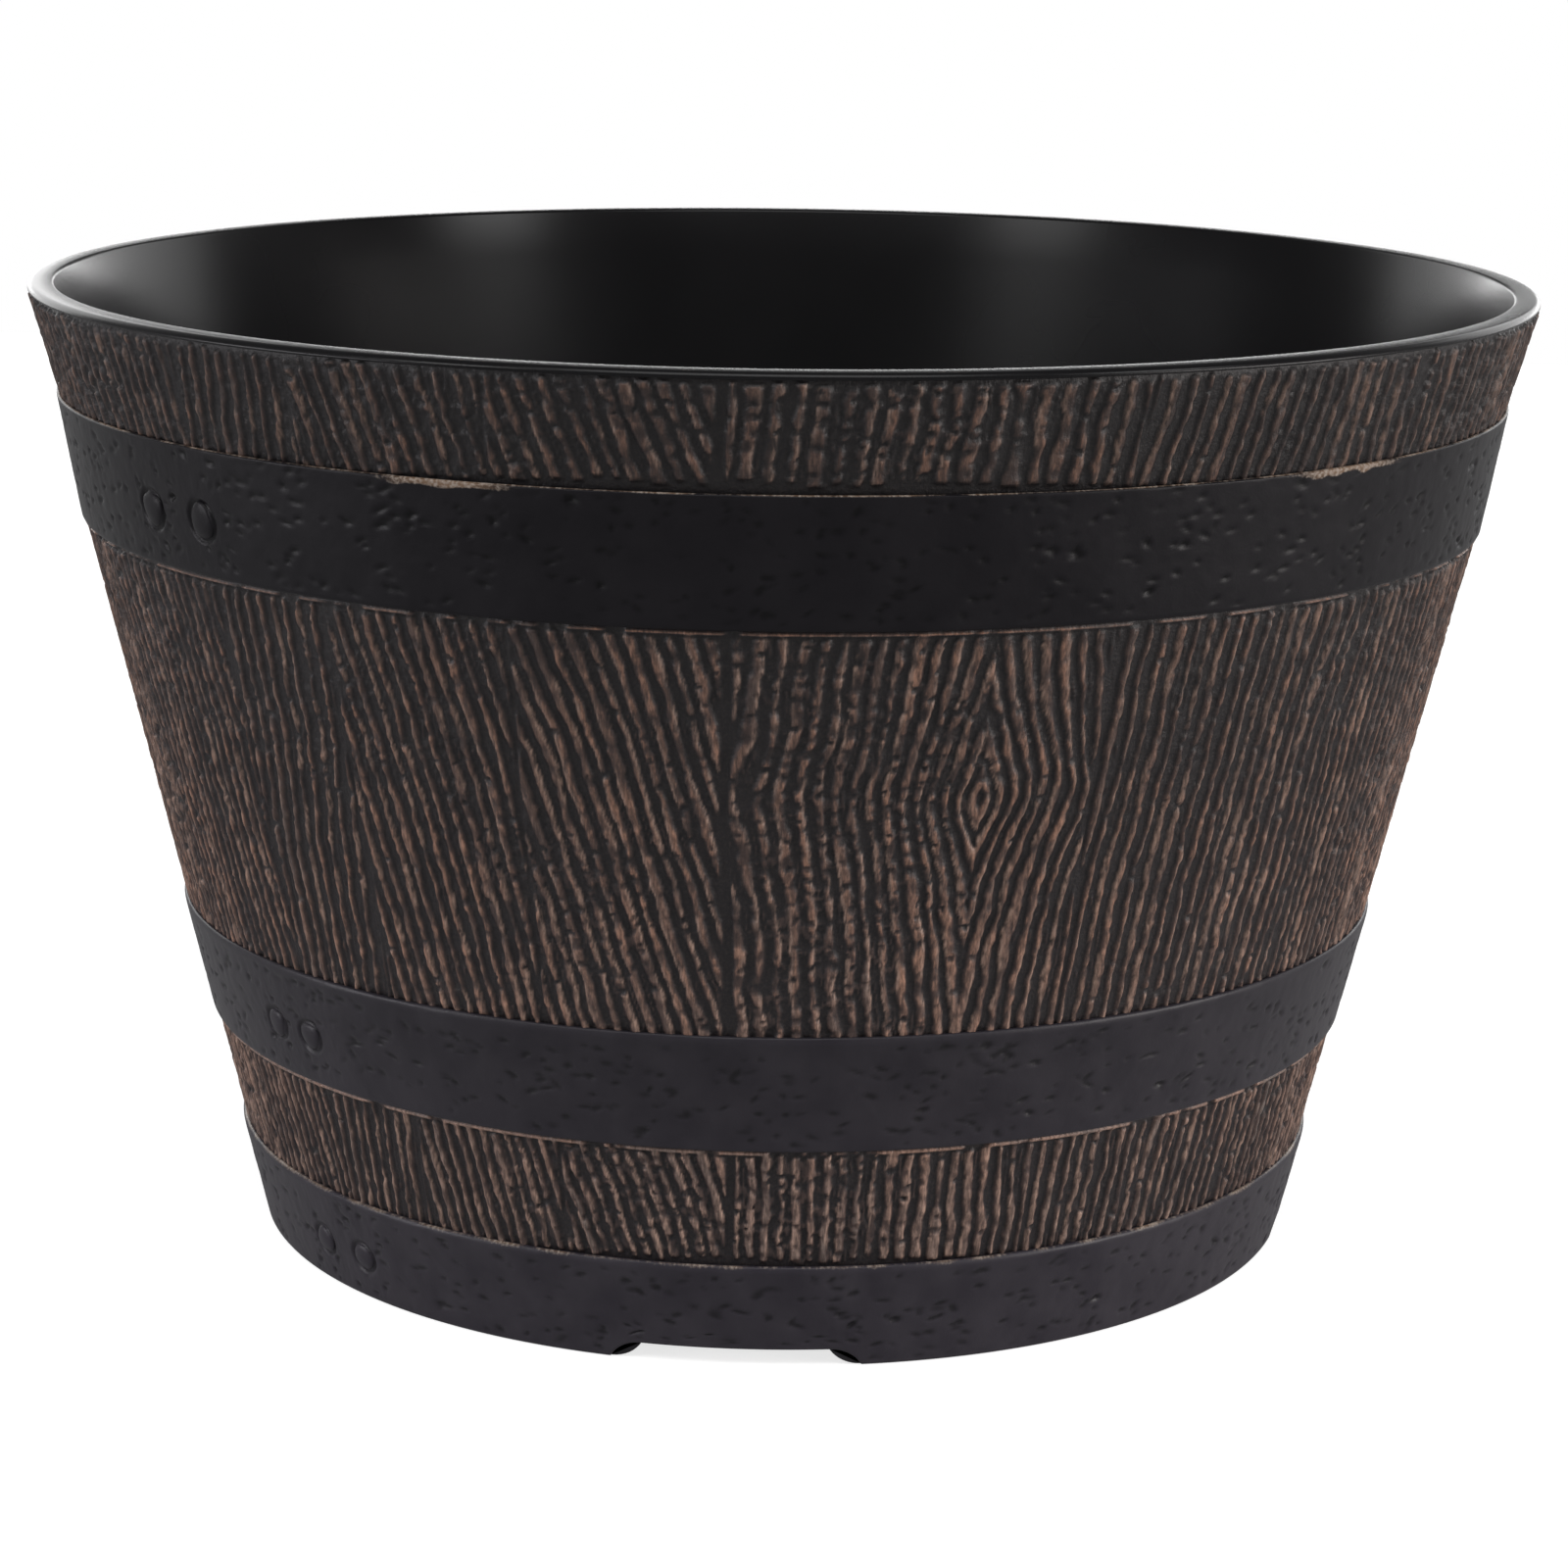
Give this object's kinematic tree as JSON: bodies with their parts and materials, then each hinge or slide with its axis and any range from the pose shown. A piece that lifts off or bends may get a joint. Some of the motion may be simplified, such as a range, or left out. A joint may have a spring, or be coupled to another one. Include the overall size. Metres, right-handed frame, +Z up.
{
  "type": "planter",
  "caption": "Round tapered floor planter shaped like half a barrel, with a wood-grain wall, riveted hoops, a drained floor and a notched foot ring.",
  "frame": {"origin": "centre of the foot ring on the ground", "axes": "+Z up along the pot's axis; -Y faces the front, where the wall has its straight joint line over a drain notch; +X to the viewer's right"},
  "size_m": [0.3809, 0.381, 0.244],
  "materials": {
    "shell": "black moulded resin, its wood grain dry-brushed bronze outside, satin black inside and on the rim",
    "hoops": "satin black resin with a hammered face",
    "rivets": "satin black resin"
  },
  "bodies": {
    "root": {"pot_shell": "shell", "upper_hoop": "hoops", "middle_hoop": "hoops", "base_hoop": "hoops", "upper_hoop_rivets": "rivets", "middle_hoop_rivets": "rivets", "base_hoop_rivets": "rivets"}
  },
  "joints": []
}
